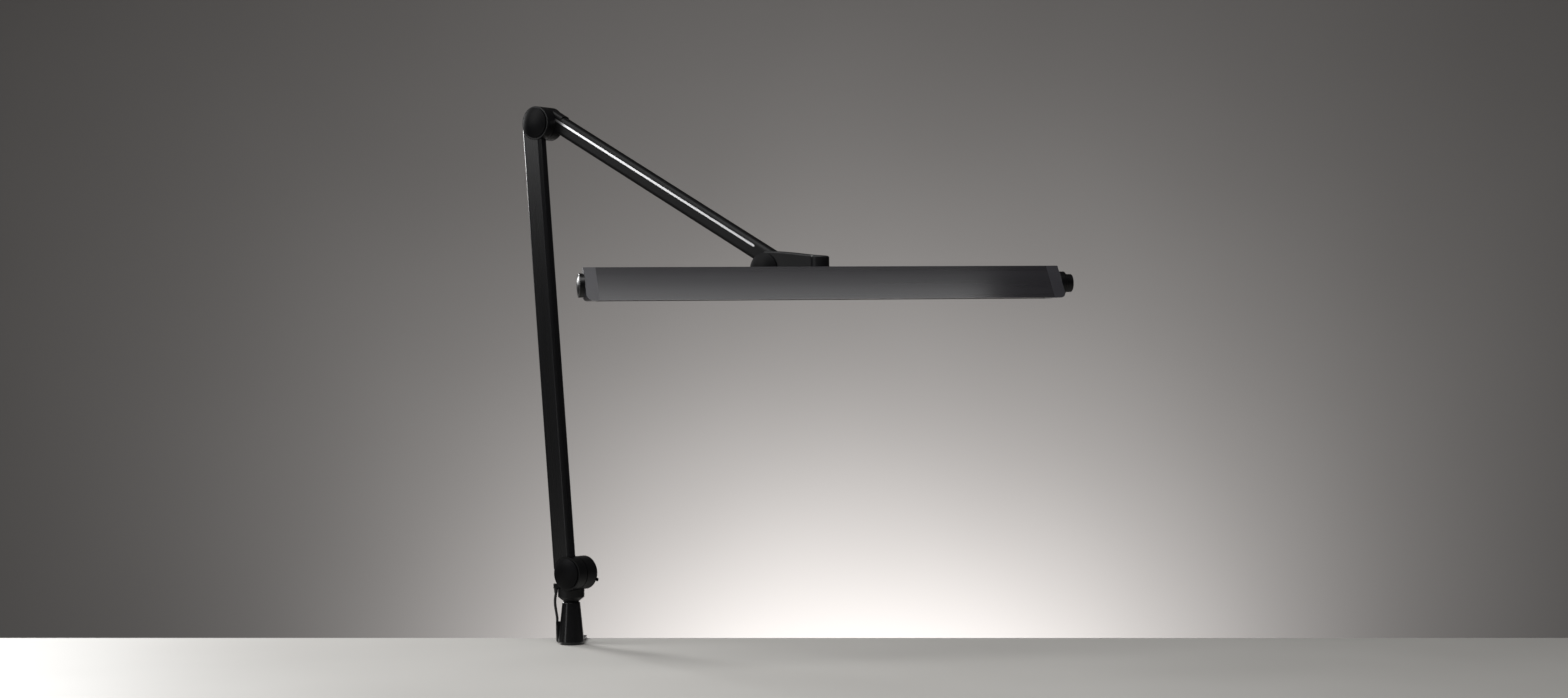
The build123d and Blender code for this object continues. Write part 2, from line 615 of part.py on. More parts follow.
def end_cap():
    """Right end cap: a hollow prism with rounded outer corners and a tongue into the housing."""
    inner, outer = extrusion_half, HEAD_LENGTH / 2
    cap = bar_prism(head_face(), inner, outer)
    end_edges = cap.edges().filter_by_position(Axis.X, outer - 0.1, outer + 0.1)
    low = end_edges.filter_by(Axis.Y).sort_by(Axis.Z)[0]
    back = end_edges.filter_by(Axis.Z).sort_by(Axis.Y)[-1]
    cap = fillet([low, back], END_CAP_CORNER)
    tongue = bar_prism(head_face(HEAD_WALL + FIT), inner - END_CAP_TONGUE, inner)
    cap += tongue
    cap -= bar_prism(cap_cavity(), inner - END_CAP_TONGUE, outer - END_CAP_WALL)
    return cap


def right_end_cap():
    hole = stub(SHAFT_RADIUS + RUNNING, HEAD_LENGTH / 2 - END_CAP_WALL, HEAD_LENGTH / 2, *knob_axis)
    return end_cap() - hole


def left_end_cap():
    cap = mirror(end_cap(), Plane.YZ)
    return cap - stub(SHAFT_RADIUS + RUNNING, -HEAD_LENGTH / 2, -HEAD_LENGTH / 2 + END_CAP_WALL, *knob_axis)


def left_end_bezel():
    """The ring around the power button."""
    start, stop = -HEAD_LENGTH / 2 - DISC_THICKNESS, -HEAD_LENGTH / 2
    ring = stub(DISC_RADIUS, start, stop, *knob_axis)
    ring = fillet(ring.edges().sort_by(Axis.X)[0], 1)
    return ring - stub(BUTTON_RADIUS + FACE_GAP, start, stop, *knob_axis)


def power_button():
    """Domed button in the ring, its stem through the cap's wall to a stop inside."""
    base = -HEAD_LENGTH / 2 - BUTTON_TRAVEL - FACE_GAP
    edge = DISC_THICKNESS - BUTTON_TRAVEL - FACE_GAP
    wall = -HEAD_LENGTH / 2 + END_CAP_WALL + FACE_GAP
    button = Pos(base, *knob_axis) * Rot(0, -90, 0) * dome(BUTTON_RADIUS, edge, BUTTON_DOME)
    return button + stub(SHAFT_RADIUS, base, wall + 1.5, *knob_axis) + stub(
        BUTTON_STOP_RADIUS, wall, wall + 1.5, *knob_axis)


def dimmer_collar():
    start, stop = HEAD_LENGTH / 2, HEAD_LENGTH / 2 + COLLAR_LENGTH
    collar = stub(DISC_RADIUS, start, stop, *knob_axis)
    collar = fillet(collar.edges().sort_by(Axis.X)[-1], 1)
    return collar - stub(SHAFT_RADIUS + RUNNING, start, stop, *knob_axis)


knob_start = HEAD_LENGTH / 2 + COLLAR_LENGTH + FACE_GAP


def dimmer_knob():
    knob = Pos(knob_start, *knob_axis) * Rot(0, 90, 0) * dome(DIMMER_RADIUS, DIMMER_LENGTH, DIMMER_DOME)
    rims = knob.edges().filter_by(GeomType.CIRCLE).filter_by(lambda e: abs(e.radius - DIMMER_RADIUS) < 0.01)
    knob = fillet(rims.sort_by(Axis.X)[-1], 1)
    shaft_start = HEAD_LENGTH / 2 - END_CAP_WALL - CONTROL_LENGTH + CONTROL_FLOOR + FACE_GAP
    return knob + stub(SHAFT_RADIUS, shaft_start, knob_start + 1, *knob_axis)


def dimmer_control():
    """Body of the rotary control, on the inside of the right cap's wall."""
    stop = HEAD_LENGTH / 2 - END_CAP_WALL
    body = stub(CONTROL_RADIUS, stop - CONTROL_LENGTH, stop, *knob_axis)
    body &= bar_prism(cap_cavity(), stop - CONTROL_LENGTH, stop)
    return body - stub(SHAFT_RADIUS + RUNNING, stop - CONTROL_LENGTH + CONTROL_FLOOR, stop, *knob_axis)


carrier_back = head_back - HEAD_WALL
carrier_front = carrier_back - BOARD_WIDTH - 2
carrier_bottom = -CARRIER_DROP - CARRIER_THICKNESS
board_bottom = carrier_bottom - BOARD_THICKNESS
strip_half = extrusion_half - END_CAP_TONGUE - 2


def led_carrier():
    """The plate that takes the light board's heat to the housing's back."""
    plate = block(-strip_half, strip_half, carrier_front, carrier_back, carrier_bottom, -CARRIER_DROP)
    plate &= bar_prism(head_face(HEAD_WALL), -strip_half, strip_half)
    return plate + block(
        -strip_half, strip_half, carrier_back - CARRIER_FLANGE, carrier_back,
        carrier_bottom - CARRIER_FLANGE_DROP, carrier_bottom)


def led_board():
    start = carrier_back - CARRIER_FLANGE - BOARD_WIDTH
    return block(-strip_half, strip_half, start, start + BOARD_WIDTH, board_bottom, carrier_bottom)


def led_chips():
    middle = carrier_back - CARRIER_FLANGE - BOARD_WIDTH / 2
    pitch = 2 * strip_half / LED_COUNT
    half = LED_SIZE / 2
    chips = []
    for index in range(LED_COUNT):
        x = -strip_half + pitch * (index + 0.5)
        chips.append(block(
            x - half, x + half, middle - half, middle + half, board_bottom - LED_HEIGHT, board_bottom))
    return Compound(children=chips)


def diffuser():
    """Frosted window that lies on the housing's two lips."""
    low = head_bottom + HEAD_WALL
    section = bar_prism(head_face(HEAD_WALL + FIT), -strip_half, strip_half)
    band = block(-strip_half, strip_half, head_front, head_back, low, low + DIFFUSER_THICKNESS)
    return section & band


def head_bracket():
    """Back plate and ledge that carry the bar on its swivel."""
    plate = block(
        -BRACKET_WIDTH / 2, BRACKET_WIDTH / 2, head_back, head_back + BRACKET_PLATE, -BRACKET_DROP, LEDGE_TOP)
    front = head_back + BRACKET_PLATE
    low = LEDGE_TOP - LEDGE_THICKNESS
    ledge = block(-LEDGE_RADIUS, LEDGE_RADIUS, front, 0, low, LEDGE_TOP)
    ledge += column(LEDGE_RADIUS, low, LEDGE_TOP)
    bracket = plate + ledge
    for side in (-1, 1):
        rib = Plane.YZ * make_face(Polyline(
            (front, low), (0, low), (front, low - 8), close=True))
        bracket += Pos(side * (LEDGE_RADIUS - 1.5), 0, 0) * extrude(rib, 1, both=True)
    for x, z in bracket_screw_places():
        bracket -= drum(BRACKET_SCREW_RADIUS + RUNNING, head_back, front, x, z)
    return bracket - column(AXLE_RADIUS + RUNNING, low, LEDGE_TOP)


def bracket_screws():
    front = head_back + BRACKET_PLATE
    screws = []
    for x, z in bracket_screw_places():
        shank = drum(BRACKET_SCREW_RADIUS, head_back - 2 * HEAD_WALL, front, x, z)
        screws.append(shank + drum(BRACKET_SCREW_RADIUS * 1.8, front, front + 2.2, x, z))
    return Compound(children=screws)


def head_pivot_pin():
    low = LEDGE_TOP - LEDGE_THICKNESS
    return column(AXLE_RADIUS, low, PIVOT_PIN_TOP) + column(AXLE_HEAD_RADIUS, low - AXLE_HEAD, low)


def head_swivel_washer():
    top = LEDGE_TOP + WASHER_THICKNESS
    return column(NECK_BOSS_RADIUS - 0.5, LEDGE_TOP, top) - column(AXLE_RADIUS + RUNNING, LEDGE_TOP, top)


head_parts = {
    "head_housing": head_housing(), "left_end_cap": left_end_cap(), "right_end_cap": right_end_cap(),
    "left_end_bezel": left_end_bezel(), "power_button": power_button(), "dimmer_collar": dimmer_collar(),
    "dimmer_knob": dimmer_knob(), "dimmer_control": dimmer_control(), "led_carrier": led_carrier(),
    "led_board": led_board(), "led_chips": led_chips(), "diffuser": diffuser(),
    "head_bracket": head_bracket(), "bracket_screws": bracket_screws(),
    "head_pivot_pin": head_pivot_pin(), "head_swivel_washer": head_swivel_washer(),
}
for name, shape in head_parts.items():
    save(name, shape, bar_frame)

# ---- cord ------------------------------------------------------------------------------------

# The stretch that turns with the yoke, from the gland down to the seam above the clip.
UPPER_ROUTE = [
    (-16.8, -0.1, CORD_EXIT), (-17.9, 0.3, 50.0), (-17.9, 0.8, 44.0), (-16.9, 2.3, 36.0), (-15.7, 3.5, 29.0),
    (-15.7, 3.5, CORD_SEAM + FACE_GAP)]
# The stretch on the desk and over its edge, down to the coil.
LOWER_ROUTE = [
    (-15.7, 3.5, CORD_SEAM), (-15.7, 3.5, 16.2), (-15.9, 8.8, 6.9), (-16.6, 18.0, 1.6), (-17.6, 28.5, 1.6),
    (-18.2, 40.0, 1.7), (-19.2, 53.0, 1.6), (-19.8, 66.0, 1.7), (-20.0, 73.8, -2.9), (-20.0, 77.9, -10.8),
    (-20.1, 77.0, -20.0), (-20.0, 75.25, -34.0)]
TAIL_ROUTE = [(-20.0, 84.75, -54.0), (-20.0, 84.75, PLUG_TOP)]


def corner_radii(route):
    """The largest arc that both runs of each corner allow, printed in cord diameters."""
    points = [Vector(*point) for point in route]
    radii = []
    for before, corner, after in zip(points, points[1:], points[2:]):
        run_in, run_out = corner - before, after - corner
        half_turn = math.radians(run_in.get_angle(run_out)) / 2
        radii.append(0.45 * min(run_in.length, run_out.length) / math.tan(half_turn))
    print("cord corner radii, in diameters:", [round(radius / (2 * CORD_RADIUS), 1) for radius in radii])
    return radii


def cord_tube(route):
    path = FilletPolyline(*route, radius=corner_radii(route)) if len(route) > 2 else Polyline(*route)
    start = Plane(origin=path @ 0, z_dir=path % 0)
    tube = sweep(start * Circle(CORD_RADIUS), path=path)
    expected = math.pi * CORD_RADIUS ** 2 * path.length
    print(f"cord stretch {path.length:.1f} mm, volume {tube.volume:.1f} against {expected:.1f}")
    return tube


def cord_coil():
    """Outer shape of the tied turns, standing behind the desk edge."""
    half = COIL_BUNDLE / 2
    across = Pos(COIL_RADIUS, 0, 0) * RectangleRounded(COIL_BUNDLE, COIL_BUNDLE, half * 0.6)
    ring = revolve(Plane.XZ * across, Axis.Z)
    return Pos(*COIL_CENTRE) * Rot(90, 0, 0) * ring


def cord_tie():
    """Strap around the bundle at the coil's top."""
    low, half = COIL_BUNDLE / 2 + 0.2, TIE_WIDTH / 2
    outer = low + TIE_THICKNESS
    strap = block(-half, half, -outer, outer, COIL_RADIUS - outer, COIL_RADIUS + outer)
    hole = block(-half, half, -low, low, COIL_RADIUS - low - 0.6, COIL_RADIUS + low)
    return Pos(*COIL_CENTRE) * Rot(0, -90, 0) * (strap - hole)


def cord_plug():
    """Small barrel connector at the cord's end, hanging under the coil."""
    x, y, _ = TAIL_ROUTE[-1]
    relief_bottom = PLUG_TOP - PLUG_RELIEF
    body_bottom = relief_bottom - PLUG_BODY
    relief = Pos(x, y, relief_bottom) * Cone(
        PLUG_RADIUS - 0.8, CORD_RADIUS + 0.5, PLUG_RELIEF, align=(Align.CENTER, Align.CENTER, Align.MIN))
    body = column(PLUG_RADIUS, body_bottom, relief_bottom, x, y)
    body = fillet(body.edges(), 0.6)
    barrel = column(PLUG_BARREL_RADIUS, body_bottom - PLUG_BARREL, body_bottom, x, y)
    barrel -= column(PLUG_BARREL_RADIUS - 1.4, body_bottom - PLUG_BARREL, body_bottom - 1, x, y)
    return relief + body + barrel


def cable_clip():
    """Fin on the post's side with a hook for the cord at its top."""
    x, y, _ = LOWER_ROUTE[0]
    spread = math.hypot(x, y)
    azimuth = math.degrees(math.atan2(y, x))
    groove = CORD_RADIUS + FIT
    fin = block(POST_TOP_RADIUS - 2, spread - groove, -1.5, 1.5, CLIP_BOTTOM, CLIP_TOP)
    hook = block(
        POST_TOP_RADIUS - 2, spread + 0.6, -groove - 1.2, groove + 1.2, CLIP_TOP - CLIP_HOOK, CLIP_TOP)
    clip = fin + hook - column(groove, CLIP_TOP - CLIP_HOOK, CLIP_TOP, spread)
    return Rot(0, 0, azimuth) * clip - Pos(0, 0, jaw_top) * Cone(
        POST_BASE_RADIUS, POST_TOP_RADIUS, POST_HEIGHT, align=(Align.CENTER, Align.CENTER, Align.MIN))


save("cable_clip", cable_clip())
save("cord_upper", cord_tube(UPPER_ROUTE))
save("cord_lower", cord_tube(LOWER_ROUTE))
save("cord_coil", cord_coil())
save("cord_tail", cord_tube(TAIL_ROUTE))
save("cord_tie", cord_tie())
save("cord_plug", cord_plug())
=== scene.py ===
import json
import math

import bmesh
import bpy
from mathutils import Matrix, Vector


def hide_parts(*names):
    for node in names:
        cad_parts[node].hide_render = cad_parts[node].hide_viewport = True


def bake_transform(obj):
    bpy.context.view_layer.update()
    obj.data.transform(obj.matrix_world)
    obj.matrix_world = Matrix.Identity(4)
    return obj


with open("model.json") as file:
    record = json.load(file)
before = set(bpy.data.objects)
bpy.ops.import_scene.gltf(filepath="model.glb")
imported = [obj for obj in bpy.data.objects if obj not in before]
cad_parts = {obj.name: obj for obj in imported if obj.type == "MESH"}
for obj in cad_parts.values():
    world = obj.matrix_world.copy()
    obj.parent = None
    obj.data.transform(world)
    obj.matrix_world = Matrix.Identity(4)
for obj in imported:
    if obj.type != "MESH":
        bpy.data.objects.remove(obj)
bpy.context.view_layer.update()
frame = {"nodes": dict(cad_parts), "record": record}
nodes = frame["nodes"]

# Black clamp lamp with a long light bar. Metres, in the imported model's frame: the origin is on the
# desk top under the post, +X to the right, +Y to the back of the desk, +Z up.

MM = 0.001

# ---- camera, as the photograph was taken -------------------------------------------------------------

PHOTO_WIDTH, PHOTO_HEIGHT = 1568, 698
FOCAL_PIXELS = 2600
SENSOR_WIDTH = 36.0
CAMERA_PLACE = (0.234, -2.860, 0.3245)
CAMERA_REACH = 50

DESK_EDGE = 0.0618            # the back edge of the desk that the clamp grips
DESK_THICKNESS = 0.0248
DESK_WIDTH = 7.0
DESK_DEPTH = 2.2
DESK_DROP = 0.0001            # keeps the desk top just clear of the pad
DESK_BEVEL = 0.001


def add_camera():
    data = bpy.data.cameras.new("camera")
    data.sensor_width = SENSOR_WIDTH
    data.lens = FOCAL_PIXELS * SENSOR_WIDTH / PHOTO_WIDTH
    data.clip_end = CAMERA_REACH
    camera = bpy.data.objects.new("camera", data)
    camera.location = CAMERA_PLACE
    camera.rotation_euler = (math.pi / 2, 0, 0)
    bpy.context.scene.collection.objects.link(camera)
    bpy.context.scene.camera = camera


# ---- materials ---------------------------------------------------------------------------------------

def linear(hex_colour):
    """An sRGB hex colour as linear RGBA."""
    values = []
    for start in (1, 3, 5):
        channel = int(hex_colour[start:start + 2], 16) / 255
        values.append(channel / 12.92 if channel <= 0.04045 else ((channel + 0.055) / 1.055) ** 2.4)
    return (*values, 1.0)


def add_node(tree, kind, settings=None, inputs=None):
    """One shader node. An input's value is a constant, or a (node, output) pair to link from."""
    node = tree.nodes.new(kind)
    for name, value in (settings or {}).items():
        setattr(node, name, value)
    for name, value in (inputs or {}).items():
        if isinstance(value, tuple) and value and isinstance(value[0], bpy.types.Node):
            tree.links.new(value[0].outputs[value[1]], node.inputs[name])
        else:
            node.inputs[name].default_value = value
    return node


def add_ramp(tree, factor, stops):
    ramp = add_node(tree, "ShaderNodeValToRGB", inputs={"Fac": factor})
    elements = ramp.color_ramp.elements
    while len(elements) < len(stops):
        elements.new(0.5)
    for element, (place, colour) in zip(elements, stops):
        element.position = place
        element.color = linear(colour) if isinstance(colour, str) else (colour, colour, colour, 1)
    return ramp


class Finish:
    """A material with its tree, a coordinate source and its principled shader."""

    def __init__(self, name, roughness, metallic=0.0, ior=1.5, specular=0.5):
        self.material = bpy.data.materials.new(name)
        self.material.use_nodes = True
        self.tree = self.material.node_tree
        self.tree.nodes.clear()
        self.output = add_node(self.tree, "ShaderNodeOutputMaterial")
        constants = {
            "Roughness": roughness, "Metallic": metallic, "IOR": ior, "Specular IOR Level": specular}
        self.shader = add_node(self.tree, "ShaderNodeBsdfPrincipled", inputs=constants)
        self.tree.links.new(self.shader.outputs["BSDF"], self.output.inputs["Surface"])
        self.place = add_node(self.tree, "ShaderNodeTexCoord")

    def drawn_along(self, turn, stretch):
        """Coordinates stretched along the X axis of a frame that is turned by three degrees."""
        mapping = add_node(self.tree, "ShaderNodeMapping", {"vector_type": "TEXTURE"}, {
            "Vector": (self.place, "Object")})
        mapping.inputs["Rotation"].default_value = [math.radians(angle) for angle in turn]
        mapping.inputs["Scale"].default_value = (stretch, 1, 1)
        return (mapping, "Vector")

    def noise(self, size, detail=2.0, vector=None, rough=0.5):
        """Noise whose grains are about size metres across."""
        vector = vector or (self.place, "Object")
        return (add_node(self.tree, "ShaderNodeTexNoise", inputs={
            "Vector": vector, "Scale": 1 / size, "Detail": detail, "Roughness": rough}), "Fac")

    def colour(self, source, stops):
        ramp = add_ramp(self.tree, source, stops)
        self.tree.links.new(ramp.outputs["Color"], self.shader.inputs["Base Color"])

    def roughness(self, source, low, high):
        spread = add_node(self.tree, "ShaderNodeMapRange", inputs={
            "Value": source, "To Min": low, "To Max": high})
        self.tree.links.new(spread.outputs["Result"], self.shader.inputs["Roughness"])

    def bump(self, source, height, strength=1.0):
        bump = add_node(self.tree, "ShaderNodeBump", inputs={
            "Height": source, "Distance": height, "Strength": strength})
        self.tree.links.new(bump.outputs["Normal"], self.shader.inputs["Normal"])


# directions that the extrusions run in, as turns of +X in degrees
ARMS_TURN = -36
LOWER_LEAN = 5.33
UPPER_DROOP = 28.05
BAR_TURN = 12.7
BAR_RISE = 0.9
ALONG_LOWER = (0, -90 - LOWER_LEAN, ARMS_TURN)
ALONG_UPPER = (0, UPPER_DROOP, ARMS_TURN)
ALONG_BAR = (0, -BAR_RISE, BAR_TURN)

DIE_STREAK = 0.35 * MM        # width of the lines that an extrusion die leaves
DIE_STRETCH = 60
TRIM_STRETCH = 80
PLATE_STRETCH = 40


def powder_coat(name, dark, light, grit, roughness, bump, specular=0.5):
    """Powder coat: fine orange peel that breaks the highlight, slightly uneven in tone."""
    finish = Finish(name, roughness[0], specular=specular)
    finish.colour(finish.noise(60 * MM, 3), [(0.3, dark), (0.7, light)])
    finish.roughness(finish.noise(4 * MM, 3), *roughness)
    finish.bump(finish.noise(grit, 2), bump)
    return finish.material


def drawn_coat(name, dark, light, turn, roughness, specular=0.5):
    """Satin-coated extrusion: faint streaks along its length from the die, under the coat."""
    finish = Finish(name, roughness[0], specular=specular)
    along = finish.drawn_along(turn, DIE_STRETCH)
    finish.colour(finish.noise(12 * MM, 3, along), [(0.3, dark), (0.7, light)])
    finish.roughness(finish.noise(DIE_STREAK * 4, 3, along), *roughness)
    finish.bump(finish.noise(DIE_STREAK, 2, along), 0.004 * MM, 0.5)
    return finish.material


def moulded(name, dark, light, roughness, grit=0.5 * MM, bump=0.015 * MM, specular=0.5):
    """Injection moulding: an even skin with a fine spark-eroded grain."""
    finish = Finish(name, roughness[0], ior=1.53, specular=specular)
    finish.colour(finish.noise(25 * MM, 2), [(0.35, dark), (0.65, light)])
    finish.roughness(finish.noise(2.5 * MM, 3), *roughness)
    finish.bump(finish.noise(grit, 2), bump)
    return finish.material


def polished(name, dark, light):
    """Polished ABS: a near-mirror skin with the faint waves of the mould."""
    finish = Finish(name, 0.26, ior=1.53, specular=0.25)
    finish.colour(finish.noise(10 * MM, 2), [(0.35, dark), (0.65, light)])
    finish.roughness(finish.noise(3 * MM, 4), 0.26, 0.34)
    finish.bump(finish.noise(6 * MM, 1), 0.02 * MM, 0.5)
    return finish.material


def metal(name, dark, light, roughness, turn=(0, 0, 0), stretch=20, line=0.3 * MM):
    """Bare metal with fine machining or drawing lines."""
    finish = Finish(name, roughness[0], metallic=1.0)
    along = finish.drawn_along(turn, stretch)
    finish.colour(finish.noise(line * 6, 3, along), [(0.3, dark), (0.7, light)])
    finish.roughness(finish.noise(line * 3, 3, along), *roughness)
    finish.bump(finish.noise(line, 2, along), 0.003 * MM, 0.5)
    return finish.material


def rubber(name, dark, light, grit=0.3 * MM):
    """Matt rubber or soft PVC, with a dusty bloom."""
    finish = Finish(name, 0.6, ior=1.52)
    finish.colour(finish.noise(8 * MM, 4), [(0.3, dark), (0.75, light)])
    finish.roughness(finish.noise(1.5 * MM, 3), 0.5, 0.75)
    finish.bump(finish.noise(grit, 2), 0.03 * MM)
    return finish.material


def frosted(name):
    """Frosted acrylic sheet: milky, with light scattered inside it."""
    finish = Finish(name, 0.4, ior=1.49)
    finish.shader.inputs["Transmission Weight"].default_value = 0.35
    finish.colour(finish.noise(30 * MM, 2), [(0.3, "#dcdad3"), (0.7, "#e8e6df")])
    finish.roughness(finish.noise(0.8 * MM, 2), 0.35, 0.55)
    finish.bump(finish.noise(0.4 * MM, 2), 0.02 * MM)
    return finish.material


def phosphor(name):
    """Phosphor under clear silicone: a flat custard yellow, mottled by the grains, with a soft gloss."""
    finish = Finish(name, 0.3, ior=1.5)
    finish.colour(finish.noise(1.2 * MM, 2), [(0.3, "#d9c163"), (0.7, "#ecd98b")])
    return finish.material


GRAINED = ("upper_arm_tube", "upper_arm_foot")


def paint_frame():
    finishes = {
        # black satin powder coat on the bent and machined clamp and on the post
        "clamp_steel": powder_coat(
            "powder_coated_steel", "#101012", "#151518", 0.8 * MM, (0.34, 0.46), 0.012 * MM),
        "post_black": powder_coat(
            "powder_coated_post", "#08080a", "#0c0c0e", 0.7 * MM, (0.2, 0.27), 0.003 * MM, 0.4),
        # die castings in satin black
        "joint_black": powder_coat(
            "painted_die_casting", "#0a0a0b", "#0e0e10", 0.6 * MM, (0.34, 0.44), 0.006 * MM, 0.25),
        # extruded aluminium lower arm in satin black
        "arm_black": drawn_coat(
            "satin_black_extrusion", "#0c0c0d", "#101012", ALONG_LOWER, (0.24, 0.3), 0.3),
        # the bar's housing, dark grey satin
        "head_grey": drawn_coat("satin_grey_extrusion", "#222124", "#272629", ALONG_BAR, (0.17, 0.21)),
        "end_grey": moulded("moulded_grey_abs", "#242328", "#29282d", (0.36, 0.44), specular=0.4),
        "cap_black": moulded(
            "moulded_black_abs", "#050506", "#08080a", (0.38, 0.46), bump=0.004 * MM, specular=0.08),
        "gloss_black": polished("polished_black_abs", "#050506", "#0a0a0b"),
        "steel": metal("zinc_plated_steel", "#8f9093", "#a9aaac", (0.25, 0.4)),
        "spring_steel": metal("oiled_spring_wire", "#5e5f62", "#7b7c7f", (0.3, 0.45)),
        "trim_silver": metal(
            "brushed_aluminium_trim", "#dcdcde", "#e8e8ea", (0.3, 0.38), ALONG_UPPER, TRIM_STRETCH, 0.2 * MM),
        "plate_aluminium": metal(
            "mill_finish_aluminium", "#9c9da0", "#b2b3b5", (0.35, 0.5), ALONG_BAR, PLATE_STRETCH),
        "rubber": rubber("black_rubber", "#0d0d0e", "#151516"),
        "cord_black": rubber("soft_black_pvc", "#070708", "#0c0c0d", 0.5 * MM),
        "nylon": moulded("natural_nylon", "#c9c5b8", "#d8d4c8", (0.4, 0.5)),
        "diffuser_white": frosted("frosted_acrylic"),
        "board_white": moulded("white_solder_mask", "#d9dad6", "#e4e5e1", (0.3, 0.4)),
        "led_yellow": phosphor("phosphor_lens"),
    }
    # the upper arm's fine-grained black, rougher than the lower arm's
    grained = powder_coat(
        "grained_black_coat", "#070708", "#0b0b0c", 0.9 * MM, (0.42, 0.55), 0.02 * MM, 0.2)
    for part in frame["record"]["subparts"]:
        mesh = nodes[part["node"]].data
        mesh.materials.clear()
        mesh.materials.append(grained if part["node"] in GRAINED else finishes[part["material_slot"]])
    return finishes


# ---- cord --------------------------------------------------------------------------------------------

CORD_DIAMETER = 0.003
CORD_STEPS = 6                # points on the curve for each control point
CORD_SIDES = 10
# the gland, the drop beside the post, the clip, the desk top and the drop behind the desk's edge
CORD_ROUTE = [
    (-0.0168, -0.0001, 0.0560), (-0.0179, 0.0003, 0.0500), (-0.0179, 0.0008, 0.0440),
    (-0.0169, 0.0023, 0.0360), (-0.0157, 0.0035, 0.0290), (-0.0157, 0.0035, 0.0260),
    (-0.0157, 0.0035, 0.0162), (-0.0159, 0.0088, 0.0069), (-0.0166, 0.0180, 0.0016),
    (-0.0176, 0.0285, 0.0016), (-0.0182, 0.0400, 0.0017), (-0.0192, 0.0530, 0.0016),
    (-0.0198, 0.0660, 0.0017), (-0.0200, 0.0738, -0.0029), (-0.0200, 0.0779, -0.0108),
    (-0.0201, 0.0770, -0.0200), (-0.0200, 0.07525, -0.0340)]
COIL_CENTRE = Vector((-0.04095, 0.0800, -0.0480))
COIL_RADIUS = 0.0162
COIL_PITCH = 0.00317
COIL_LAYERS = 4
POINTS_A_TURN = 16
CROSSING_START = 0.75         # share of a turn after which it crosses to the next slot
CORD_TAIL = [(-0.0200, 0.08475, -0.0600), (-0.0200, 0.08475, -0.0720)]


def coil_points():
    """Turns side by side in layers, wound in and out, entered and left downwards at the right."""
    points = []
    middle = (COIL_LAYERS - 1) / 2
    slots = []
    for layer in range(COIL_LAYERS):
        rings = range(COIL_LAYERS)
        for ring in (reversed(rings) if layer % 2 == 0 else rings):
            slots.append((COIL_RADIUS + (ring - middle) * COIL_PITCH, (layer - middle) * COIL_PITCH))
    # the control points stand a little outside the circle that the curve follows
    corner = 1 / math.cos(math.pi / POINTS_A_TURN) ** 0.5
    for turn, (radius, side) in enumerate(slots):
        next_radius, next_side = slots[min(turn + 1, len(slots) - 1)]
        for step in range(POINTS_A_TURN):
            share = max(0.0, (step / POINTS_A_TURN - CROSSING_START) / (1 - CROSSING_START))
            r = (radius + (next_radius - radius) * share) * corner
            y = side + (next_side - side) * share
            angle = -2 * math.pi * step / POINTS_A_TURN
            points.append(COIL_CENTRE + Vector((r * math.cos(angle), y, r * math.sin(angle))))
    last_radius, last_side = slots[-1]
    points.append(COIL_CENTRE + Vector((last_radius, last_side, 0)))
    return points


def smooth_line(points):
    """The points of the NURBS spline that has these as its control points."""
    curve = bpy.data.curves.new("cord_line", "CURVE")
    curve.dimensions = "3D"
    curve.resolution_u = CORD_STEPS
    spline = curve.splines.new("NURBS")
    spline.points.add(len(points) - 1)
    for point, place in zip(spline.points, points):
        point.co = (*place, 1)
    spline.order_u = 3
    spline.use_endpoint_u = True
    line = bpy.data.objects.new("cord_line", curve)
    bpy.context.scene.collection.objects.link(line)
    bpy.context.view_layer.update()
    mesh = bpy.data.meshes.new_from_object(line)
    places = [vertex.co.copy() for vertex in mesh.vertices]
    bpy.data.objects.remove(line)
    bpy.data.meshes.remove(mesh)
    return places


def tube_along(name, places, radius, sides):
    """A closed round tube whose rings follow the places without twisting."""
    mesh = bmesh.new()
    rings = []
    across = None
    for index, place in enumerate(places):
        before = places[max(index - 1, 0)]
        after = places[min(index + 1, len(places) - 1)]
        along = (after - before).normalized()
        if across is None:
            across = along.orthogonal().normalized()
        across = (across - along * across.dot(along)).normalized()
        turn = Matrix((across, along.cross(across), along)).transposed().to_4x4()
        ring = bmesh.ops.create_circle(
            mesh, cap_ends=False, segments=sides, radius=radius, matrix=Matrix.Translation(place) @ turn)
        rings.append(ring["verts"])
    for first, second in zip(rings, rings[1:]):
        for index in range(sides):
            after = (index + 1) % sides
            mesh.faces.new((first[index], first[after], second[after], second[index]))
    for ring in (rings[0], rings[-1]):
        mesh.faces.new(ring)
    loose = [edge for edge in mesh.edges if not edge.link_faces]
    bmesh.ops.delete(mesh, geom=loose, context="EDGES")
    bmesh.ops.recalc_face_normals(mesh, faces=mesh.faces)
    return finished(mesh, name)


def finished(mesh, name, smooth=True):
    """Turn a bmesh into a linked object at the origin."""
    data = bpy.data.meshes.new(name)
    mesh.to_mesh(data)
    mesh.free()
    piece = bpy.data.objects.new(name, data)
    bpy.context.scene.collection.objects.link(piece)
    if smooth:
        for face in data.polygons:
            face.use_smooth = True
    return piece


def add_cord(finishes):
    places = smooth_line([Vector(p) for p in CORD_ROUTE] + coil_points() + [Vector(p) for p in CORD_TAIL])
    cord = tube_along("cord", places, CORD_DIAMETER / 2, CORD_SIDES)
    cord.data.materials.append(finishes["cord_black"])
    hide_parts("cord_upper", "cord_lower", "cord_coil", "cord_tail")
    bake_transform(cord)
    return cord


# ---- desk, backdrop and lights -----------------------------------------------------------------------

WALL_DISTANCE = 2.4
WALL_WIDTH = 12
WALL_THICKNESS = 0.1
WALL_FOOT, WALL_TOP = -2.5, 4
WORLD_STRENGTH = 0.07


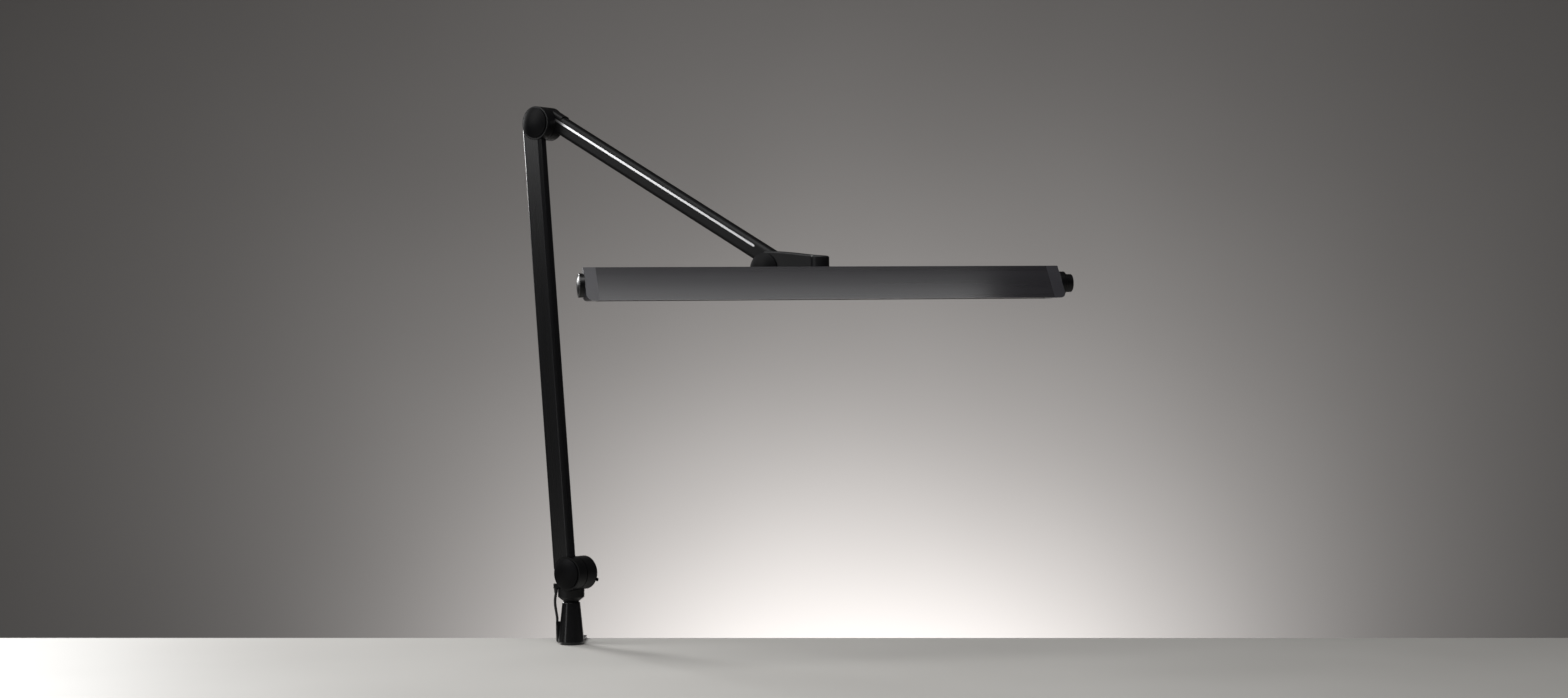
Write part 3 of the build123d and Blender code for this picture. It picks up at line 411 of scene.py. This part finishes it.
def stage_box(name, low, high, bevel=0.0):
    mesh = bmesh.new()
    bmesh.ops.create_cube(mesh, size=1)
    size = Vector(high) - Vector(low)
    middle = (Vector(high) + Vector(low)) / 2
    bmesh.ops.scale(mesh, vec=size, verts=mesh.verts)
    bmesh.ops.translate(mesh, vec=middle, verts=mesh.verts)
    if bevel:
        bmesh.ops.bevel(
            mesh, geom=mesh.edges, offset=bevel, segments=3, profile=0.5, affect="EDGES", material=-1)
    return finished(mesh, name, smooth=False)


def add_stage():
    desk = stage_box(
        "desk", (-DESK_WIDTH / 2, DESK_EDGE - DESK_DEPTH, -DESK_THICKNESS),
        (DESK_WIDTH / 2, DESK_EDGE, -DESK_DROP), DESK_BEVEL)
    # a pale laminate: nearly even in tone, with a satin sheen at low angles
    top = Finish("pale_laminate", 0.55)
    top.colour(top.noise(0.4, 2), [(0.3, "#b9b7b3"), (0.7, "#c2c0bc")])
    desk.data.materials.append(top.material)
    wall = stage_box(
        "backdrop", (-WALL_WIDTH / 2, WALL_DISTANCE, WALL_FOOT),
        (WALL_WIDTH / 2, WALL_DISTANCE + WALL_THICKNESS, WALL_TOP))
    # matt paper: no sheen, only the faintest clouding
    paper = Finish("pale_backdrop", 0.9)
    paper.colour(paper.noise(0.8, 2), [(0.3, "#7e7b79"), (0.7, "#84817f")])
    wall.data.materials.append(paper.material)


def add_area_light(name, place, target, size, power, colour="#ffffff"):
    data = bpy.data.lights.new(name, "AREA")
    data.shape = "RECTANGLE"
    data.size, data.size_y = size
    data.energy = power
    data.color = linear(colour)[:3]
    light = bpy.data.objects.new(name, data)
    light.location = place
    light.rotation_euler = (Vector(target) - Vector(place)).to_track_quat("-Z", "Y").to_euler()
    light.visible_camera = False
    bpy.context.scene.collection.objects.link(light)
    return light


def add_lights():
    world = bpy.data.worlds.new("studio")
    world.use_nodes = True
    background = world.node_tree.nodes["Background"]
    background.inputs["Color"].default_value = linear("#e8e6e4")
    background.inputs["Strength"].default_value = WORLD_STRENGTH
    bpy.context.scene.world = world
    add_area_light("key_left", (-1.45, -0.45, 1.1), (-0.02, -0.02, 0.55), (0.9, 0.9), 8)
    add_area_light("rim_left", (-1.1, 1.3, 1.0), (-0.03, 0, 0.5), (0.5, 0.9), 24)
    add_area_light("low_left", (-1.1, -0.85, 0.14), (0, 0, 0.05), (0.22, 0.3), 0.5)
    add_area_light("top_soft", (-0.35, -0.9, 1.9), (0.1, -0.5, 0.0), (2.4, 1.2), 26)
    add_area_light(
        "wall_glow", (0.4, WALL_DISTANCE - 0.55, -0.62), (0.4, WALL_DISTANCE, -0.1), (1.0, 0.4), 33)
    over_bar = add_area_light("over_bar", (0.17, -0.41, 0.76), (0.17, -0.41, 0.4), (0.84, 0.16), 1.3)
    # the light's long side follows the bar
    over_bar.rotation_euler = (0, 0, math.radians(BAR_TURN))


# ---- the scene ---------------------------------------------------------------------------------------

add_camera()
finishes = paint_frame()
add_cord(finishes)
add_stage()
add_lights()
bpy.context.scene.view_settings.view_transform = "Standard"
